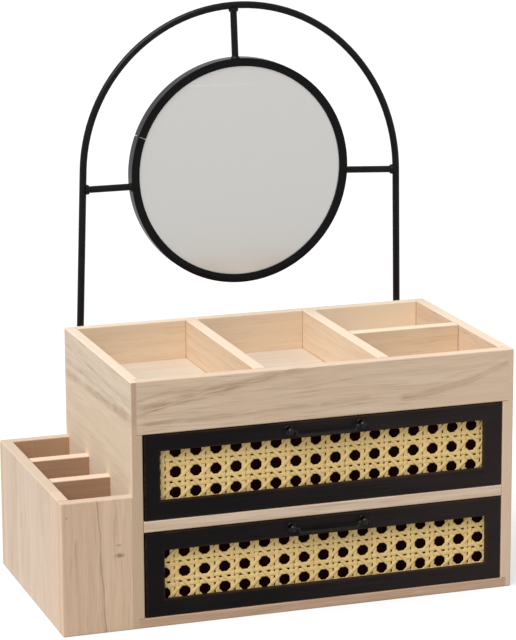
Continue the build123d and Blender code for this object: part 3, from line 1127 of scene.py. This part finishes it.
    def _ribbon_faces(self, strands: int, count: int, ring: int) -> np.ndarray:
        """Number the faces of equal ribbons: bands between rings, and caps at both ends.

        Args:
            strands: How many ribbons there are.
            count: Rings along each.
            ring: Points round each ring.

        Returns:
            One row of four corner numbers a face.
        """
        start = (np.arange(strands) * count * ring)[:, None, None]
        row = (np.arange(count - 1) * ring)[None, :, None]
        here = np.arange(ring)[None, None, :]
        after = (here + 1) % ring
        bands = np.stack(
            np.broadcast_arrays(
                start + row + here, start + row + ring + here, start + row + ring + after, start + row + after
            ),
            -1,
        ).reshape(-1, 4)
        cap = np.array([[0, 1, 6, 7], [1, 2, 3, 6], [3, 4, 5, 6]])
        ends = (np.arange(strands) * count * ring)[:, None, None]
        front = (cap[None] + ends).reshape(-1, 4)
        back = (cap[None, :, ::-1] + (count - 1) * ring + ends).reshape(-1, 4)
        return np.concatenate([bands, front, back])


# ---------------------------------------------------------------------------- sub-assemblies


@dataclass
class MainBox:
    """The box's boards: sides, back, front wall, shelf, bottom and the divided tray."""

    edge: Seen = (232, 213, 191)

    def boards(self) -> dict[str, WoodFinish]:
        """Choose each board's wood.

        Returns:
            The finish of each node.
        """
        across, depth, up = Direction.ACROSS, Direction.DEPTH, Direction.UP
        low, high = corners("side_board_left")
        front, back, top = float(low[1]), float(high[1]), float(high[2])
        wall_low, wall_high = corners("top_front_board")
        left, right, foot = float(wall_low[0]), float(wall_high[0]), float(wall_low[2])
        first_divider = float(corners("tray_divider_left")[0][0])
        second_divider = float(corners("tray_divider_right")[0][0])
        inner_right = float(corners("side_board_right")[0][0])
        tray_low = float(corners("tray_floor")[1][2])
        wall_face = float(corners("back_board")[0][1])
        inner_face = (wall_face + 0.5, wall_face + 0.1)
        rim = (Tint(up, top - 0.8, top - 0.2, self.edge, 0.72),)
        return {
            "side_board_left": WoodFinish(
                "wood_side_left", depth, across, 3.1, (233, 219, 198), (198, 172, 144), 0.26,
                strip=76.0, strip_start=top - 32.0, strip_change=0.1, figure=0.24, streaks=1.0, hairs=0.4,
                blush=0.12, end=(210, 178, 150),
                flames=(
                    Flame((back + 4.0, top - 33.0), (front - 12.0, top - 26.0), 4.6, 0.66, 1.0, 0.4, 1.0),
                    Flame((back, top - 22.0), (front - 20.0, top - 24.0), 2.2, 0.3),
                    Flame((back, top - 12.0), (front + 4.0, top - 16.0), 0.9, 0.4),
                    Flame((back, top - 50.0), (front, top - 58.0), 1.1, 0.3),
                    Flame((back - 30.0, top - 60.0), (front, top - 74.0), 1.0, 0.3),
                ),
                tints=(*rim, Tint(up, top - 26.0, top - 34.0, (228, 205, 172), 0.34)),
            ),
            "side_board_right": WoodFinish(
                "wood_side_right", depth, across, 17.6, tone=0.36, strip=58.0, strip_start=5.0, strip_change=0.2,
                end=(243, 213, 186),
                tints=rim,
            ),
            "back_board": WoodFinish(
                "wood_back", across, depth, 8.2, (243, 224, 198), (220, 190, 155), 0.36,
                figure=0.2, streaks=0.5, end=(222, 198, 168),
                # Joint lines at the dividers and along the tray floor, with painted corner shade.
                joint_and_shade_lines=(
                    JointAndShadeLine(across, first_divider, near=inner_face),
                    JointAndShadeLine(across, second_divider, near=inner_face),
                    JointAndShadeLine(across, inner_right, 0.6, 0.7, inner_face),
                    JointAndShadeLine(up, tray_low, 0.35, 0.3, inner_face),
                ),
                tints=(
                    *rim,
                    Tint(across, second_divider - 1.0, second_divider + 1.0, (255, 236, 208), 0.7, inner_face),
                ),
            ),
            "top_front_board": WoodFinish(
                "wood_front_wall", across, depth, 5.7, (238, 216, 189), (188, 151, 121), 0.22,
                figure=0.24, streaks=1.15, hairs=0.46, blush=0.22, end=(224, 200, 174),
                flames=(
                    Flame((left - 4.0, top - 23.0), (left + 132.0, top + 1.0), 5.2, 0.6, 0.85, 0.12, 1.8),
                    Flame((left - 2.0, top - 14.0), (left + 60.0, top - 4.0), 2.4, 0.4, 0.9, 0.1),
                    Flame((left, foot + 7.0), (left + 140.0, foot + 11.0), 2.8, 0.4, 1.0, 0.1),
                    Flame((left + 131.0, foot + 10.0), (left + 171.0, foot + 13.0), 3.0, 0.34),
                    Flame((right - 84.0, foot + 9.5), (right + 24.0, foot + 39.0), 3.8, 0.6, 1.9, 0.25, 1.2),
                    Flame((right - 50.0, foot + 21.0), (right + 6.0, foot + 37.0), 1.6, 0.3, 1.4),
                ),
                tints=(
                    Tint(up, top - 0.6, top - 0.1, (214, 193, 170), 0.7),
                    Tint(across, right - 120.0, right, (243, 213, 185), 0.4),
                ),
            ),
            "middle_shelf": WoodFinish(
                "wood_shelf", across, up, 11.4, (243, 222, 199), (208, 178, 150), 0.22, streaks=1.1, hairs=0.4,
                blush=0.1,
            ),
            "bottom_board": WoodFinish(
                "wood_bottom", across, up, 23.9, (222, 190, 163), (186, 148, 120), 0.36, streaks=1.1, hairs=0.4,
                blush=0.3,
            ),
            "tray_floor": WoodFinish(
                "wood_tray_floor", across, up, 31.2, (214, 201, 184), (192, 172, 150), 0.24,
                figure=0.16, blush=0.16,
            ),
            "tray_divider_left": WoodFinish(
                "wood_divider_left", depth, across, 13.3, (236, 214, 187), (206, 172, 138), 0.3,
                figure=0.26, blush=0.16, tints=rim,
                flames=(Flame((back - 6.0, top - 21.0), (front + 60.0, top - 27.0), 2.4, 0.3),),
            ),
            "tray_divider_right": WoodFinish(
                "wood_divider_right", depth, across, 27.8, (236, 214, 187), (206, 172, 138), 0.32,
                figure=0.24, blush=0.16, tints=rim,
            ),
            "tray_cross_divider": WoodFinish(
                "wood_cross_divider", across, depth, 19.9, (241, 219, 190), (212, 178, 143), 0.34,
                figure=0.24, joint_and_shade_lines=(JointAndShadeLine(across, inner_right, 0.6, 0.7),), tints=rim,
            ),
        }

    def dress(self) -> None:
        """Give every board its wood."""
        for node, finish in self.boards().items():
            dress(node, finish.material(*corners(node)))


@dataclass
class SideBin:
    """The open bin on the left, with upright grain in its outer boards, and painted shade that darkens the inner
    faces of its rooms below their top edges.
    """

    edge: Seen = (200, 181, 159)
    room_painted_shade: Seen = (158, 119, 90)

    def boards(self) -> dict[str, WoodFinish]:
        """Choose each board's wood.

        Returns:
            The finish of each node.
        """
        across, depth, up = Direction.ACROSS, Direction.DEPTH, Direction.UP
        low, high = corners("bin_front_board")
        left, right, front, top = float(low[0]), float(high[0]), float(low[1]), float(high[2])
        back = float(corners("bin_back_board")[0][1])
        rim = (Tint(up, top - 0.8, top - 0.2, self.edge, 0.7),)
        # Painted shade: below their top edges the rooms' inner faces turn dark brown, as they lie deep in the bin
        # where little light falls.
        inside = (Tint(up, top - 0.5, top - 1.3, self.room_painted_shade, 0.8),)
        return {
            "bin_outer_wall": WoodFinish(
                "wood_bin_side", up, across, 6.6, (229, 209, 189), (200, 174, 149), 0.2,
                strip=31.0, strip_start=front + 30.0, strip_change=0.26, figure=0.2, streaks=0.95, hairs=0.42,
                blush=0.2,
                tints=(*rim, Tint(depth, front + 31.0, front + 29.0, (226, 196, 168), 0.45)),
            ),
            "bin_front_board": WoodFinish(
                "wood_bin_front", up, depth, 14.8, (243, 217, 188), (216, 180, 147), 0.34,
                figure=0.2, streaks=1.1, hairs=0.46, blush=0.42,
                knots=(
                    Knot(54.2, right - 9.2, 3.7, 0.5, 0.72),
                    Knot(61.5, right - 9.8, 2.6, 0.42, 0.36),
                    Knot(84.0, left + 4.0, 0.9, 1.0, 0.5),
                ),
                flames=(
                    Flame((top + 8.0, left + 25.4), (-24.0, left + 31.6), 0.8, 0.72, 1.1, 0.7, 1.5),
                    Flame((52.0, left + 27.4), (-20.0, left + 30.4), 1.9, 0.5, 1.1, 0.3, 2.0),
                    Flame((70.0, left + 10.0), (-10.0, left + 12.0), 1.8, 0.36),
                    Flame((top + 6.0, left + 38.0), (20.0, left + 37.0), 1.4, 0.3),
                ),
                tints=(*rim, Tint(across, left + 29.0, left + 24.0, (214, 180, 154), 0.3)),
            ),
            # Painted shade on the back board's inner face, which looks into the deep bin.
            "bin_back_board": WoodFinish(
                "wood_bin_back", up, depth, 21.5, tone=0.42, strip=26.0, tints=(
                    *rim, Tint(depth, back + 0.6, back + 0.2, (184, 144, 111), 0.8)
                ),
            ),
            "bin_divider_front": WoodFinish(
                "wood_bin_divider_front", across, depth, 9.4, (238, 216, 194), (206, 170, 140), 0.3, tints=inside
            ),
            # Painted shade on the rear divider below its top edge, a little lighter than the front rooms' shade.
            "bin_divider_rear": WoodFinish(
                "wood_bin_divider_rear", across, depth, 29.7, (238, 216, 194), (206, 170, 140), 0.3,
                tints=(Tint(up, top - 0.5, top - 1.3, (168, 129, 99), 0.8),),
            ),
            "bin_floor": WoodFinish("wood_bin_floor", depth, up, 12.2, tone=0.42),
        }

    def dress(self) -> None:
        """Give every board its wood."""
        for node, finish in self.boards().items():
            dress(node, finish.material(*corners(node)))


@dataclass
class MirrorStand:
    """The bent rod, the three short rods, the framed mirror and the clips behind the box."""

    rods: tuple[str, ...] = ("arch_rod", "mirror_spoke_left", "mirror_spoke_right", "mirror_spoke_top")
    clips: tuple[str, ...] = (
        "arch_clip_left_upper",
        "arch_clip_left_lower",
        "arch_clip_right_upper",
        "arch_clip_right_lower",
    )

    def dress(self) -> None:
        """Coat the metal, silver the glass and dress its backing."""
        coat = BlackMetalFinish("black_rod_coat").material()
        for node in (*self.rods, *self.clips):
            dress(node, coat)
        dress("mirror_rim", BlackMetalFinish("black_rim_coat", 0.24, shine=0.15, deep=(4, 2, 4), pale=(12, 10, 11)).material())
        low, high = corners("mirror_glass")
        glass = MirrorFinish("silvered_glass", float(low[2]), float(high[2]), float(high[2]) - 17.0, 30.0)
        dress("mirror_glass", glass.material())
        dress("mirror_backing", HardboardFinish("mirror_hardboard", (84, 58, 38), (128, 96, 66)).material())
        dress("clip_screws", ZincFinish("zinc_screws").material())


@dataclass
class Drawer:
    """One drawer: its black frame, its cane, the box behind it and its swinging handle.

    Args:
        name: The drawer's name, which begins its nodes' names.
        seed: A number that sets its wood and cane apart.
        cane_first: One cane hole's middle from the sheet's middle along X and Z, in mm.
        cane_tilt: The cane's turn, in degrees.
    """

    name: str
    seed: int
    cane_first: tuple[float, float]
    cane_tilt: float
    rebate: float = 4.8

    def build(self, cane: bpy.types.Material, coat: bpy.types.Material, zinc: bpy.types.Material) -> None:
        """Dress the drawer's nodes and weave its cane.

        Args:
            cane: The cane strands' material.
            coat: The handle's material.
            zinc: The nuts' material.
        """
        low, high = corners(f"{self.name}_face_frame")
        cane_low, cane_high = corners(f"{self.name}_cane")
        frame_half, frame_middle = (high - low) / 2, (high + low) / 2
        cane_half, cane_middle = (cane_high - cane_low) / 2, (cane_high + cane_low) / 2
        paint = FramePaintFinish(
            f"{self.name}_frame_paint",
            (frame_half[0], frame_half[2]),
            (frame_middle[0], frame_middle[2]),
            (cane_half[0] - self.rebate, cane_half[2] - self.rebate),
            (cane_middle[0], cane_middle[2]),
        )
        dress(f"{self.name}_face_frame", paint.material())
        backing = HardboardFinish(f"{self.name}_backing_board", (12, 0, 0), (30, 3, 0))
        dress(f"{self.name}_backing", backing.material())
        for part in ("handle_posts", "handle_bail"):
            dress(f"{self.name}_{part}", coat)
        dress(f"{self.name}_handle_nuts", zinc)
        self._dress_box()
        CaneWeave(
            f"{self.name}_cane", f"{self.name}_drawer", cane, self.cane_first, self.cane_tilt, self.seed
        ).build()

    def _dress_box(self) -> None:
        """Give the hidden box's boards their wood."""
        across, depth, up = Direction.ACROSS, Direction.DEPTH, Direction.UP
        runs = {
            "side_left": (depth, across),
            "side_right": (depth, across),
            "inner_front": (across, depth),
            "back": (across, depth),
            "floor": (across, up),
        }
        for number, (part, (grain, face)) in enumerate(runs.items()):
            finish = WoodFinish(
                f"wood_{self.name}_{part}", grain, face, self.seed + number * 4.3, tone=0.36, figure=0.25
            )
            node = f"{self.name}_{part}"
            dress(node, finish.material(*corners(node)))


# ---------------------------------------------------------------------------- studio


@dataclass
class Studio:
    """A pale floor under soft light, and the camera at the photograph's place.

    Args:
        aim: What the middle of the picture looks at along X and Z, in mm.
        aim_depth: How far behind the box's front that lies, in mm.
        azimuth: The camera's turn to the right of straight in front, in degrees.
        elevation: Its height above level, in degrees.
        roll: Its turn about its own line of sight, in degrees.
        distance: How far it stands from what it aims at, in mm.
        shift: How far the aim is moved to the camera's right and up, in mm.
        lens: The lens's length, in mm on a 36 mm sensor along the picture's height.
        floor_reach: Half the width of the floor, in mm.
        shadow_fill: How much of the floor's shadow the camera doesn't see.
        mirrored: How much stronger reflections see the surroundings than matt surfaces do.
        sun_towards: Where the sun stands, seen from the object.
        sun_strength: The sun's strength, in watts a square metre.
        sun_width: The sun's width, in degrees.
    """

    aim: tuple[float, float] = (25.0, 150.0)
    aim_depth: float = 80.0
    azimuth: float = -18.7
    elevation: float = 13.2
    roll: float = -0.30
    distance: float = 2045.0
    shift: tuple[float, float] = (-21.3, 37.7)
    lens: float = 161.3
    floor_reach: float = 14000.0
    shadow_fill: float = 0.6
    mirrored: float = 0.37
    sun_towards: tuple[float, float, float] = (-0.47, -0.2, 0.86)
    sun_strength: float = 3.3
    sun_width: float = 55.0

    def build(self) -> None:
        """Set up the floor, the light and the camera."""
        self._floor()
        self._world()
        self._lamp()
        self._camera()
        bpy.context.scene.view_settings.view_transform = "Standard"

    def _camera(self) -> None:
        """Place the camera from its angles, distance and shift."""
        turn, rise, roll = (math.radians(angle) for angle in (self.azimuth, self.elevation, self.roll))
        back = Vector((math.sin(turn) * math.cos(rise), -math.cos(turn) * math.cos(rise), math.sin(rise)))
        level = (-back).cross(Vector((0, 0, 1))).normalized()
        upward = level.cross(-back)
        right = level * math.cos(roll) + upward * math.sin(roll)
        up = upward * math.cos(roll) - level * math.sin(roll)
        front = float(corners("side_board_left")[0][1])
        aim = Vector((self.aim[0], front + self.aim_depth, self.aim[1]))
        target = aim + right * self.shift[0] + up * self.shift[1]
        eye = (target + back * self.distance) * MM
        data = bpy.data.cameras.new("camera")
        data.lens = self.lens
        data.sensor_width = 36.0
        data.clip_end = 40.0
        camera = bpy.data.objects.new("camera", data)
        rotation = Matrix((right, up, back)).transposed().to_4x4()
        camera.matrix_world = Matrix.Translation(eye) @ rotation
        bpy.context.scene.collection.objects.link(camera)
        bpy.context.scene.camera = camera

    def _floor(self) -> None:
        """Lay a wide plain floor, white to the camera with a soft shadow, that bounces and mirrors less."""
        reach = self.floor_reach
        points = np.array([[-reach, -reach, 0.0], [reach, -reach, 0.0], [reach, reach, 0.0], [-reach, reach, 0.0]])
        floor = add_mesh("floor", points, np.array([[0, 1, 2, 3]]), smooth=False)
        material, graph = new_material("studio_floor")
        path = graph.node("ShaderNodeLightPath")
        seen = Signal(graph, path.outputs["Is Camera Ray"])
        mirrored = Signal(graph, path.outputs["Is Glossy Ray"])
        colour = graph.mix((0.42, 0.41, 0.40, 1.0), (0.6, 0.6, 0.6, 1.0), mirrored)
        colour = graph.mix(colour, (0.98, 0.98, 0.98, 1.0), seen)
        lit = graph.node("ShaderNodeBsdfDiffuse", None, {"Color": colour})
        white = graph.node("ShaderNodeEmission", None, {"Color": (1.0, 1.0, 1.0, 1.0), "Strength": 1.0})
        shader = graph.node(
            "ShaderNodeMixShader", None, {0: seen * self.shadow_fill, 1: lit.outputs[0], 2: white.outputs[0]}
        )
        graph.surface(shader)
        material.cycles.emission_sampling = "NONE"
        floor.data.materials.append(material)

    def _world(self) -> None:
        """Surround the object with soft light that the camera sees as white and reflections as pale grey."""
        world = bpy.data.worlds.new("studio")
        world.use_nodes = True
        graph = Graph(world.node_tree)
        path = graph.node("ShaderNodeLightPath")
        seen = Signal(graph, path.outputs["Is Camera Ray"])
        mirrored = Signal(graph, path.outputs["Is Glossy Ray"])
        strength = seen * 0.62 + mirrored * self.mirrored + 0.38
        light = graph.node("ShaderNodeBackground", None, {"Color": (1.0, 1.0, 1.0, 1.0), "Strength": strength})
        graph.node("ShaderNodeOutputWorld", None, {"Surface": light.outputs[0]})
        bpy.context.scene.world = world

    def _lamp(self) -> None:
        """Hang one broad soft sun up and to the left."""
        data = bpy.data.lights.new("key", "SUN")
        data.energy = self.sun_strength
        data.angle = math.radians(self.sun_width)
        lamp = bpy.data.objects.new("key", data)
        lamp.rotation_euler = Vector(self.sun_towards).to_track_quat("Z", "Y").to_euler()
        bpy.context.scene.collection.objects.link(lamp)


def main() -> None:
    """Build the studio and every sub-assembly in order."""
    logging.basicConfig(level=logging.INFO, format="%(message)s")
    Studio().build()
    MainBox().dress()
    SideBin().dress()
    MirrorStand().dress()
    cane = CaneFinish("golden_cane").material()
    coat = BlackMetalFinish("black_handle_coat", 0.26, shine=0.3, deep=(4, 3, 3), pale=(12, 10, 10)).material()
    zinc = ZincFinish("zinc_nuts").material()
    Drawer("upper", 41, (-5.5, 0.25), -0.42).build(cane, coat, zinc)
    Drawer("lower", 73, (-2.15, 0.85), 0.30).build(cane, coat, zinc)


if __name__ == "__main__":
    main()
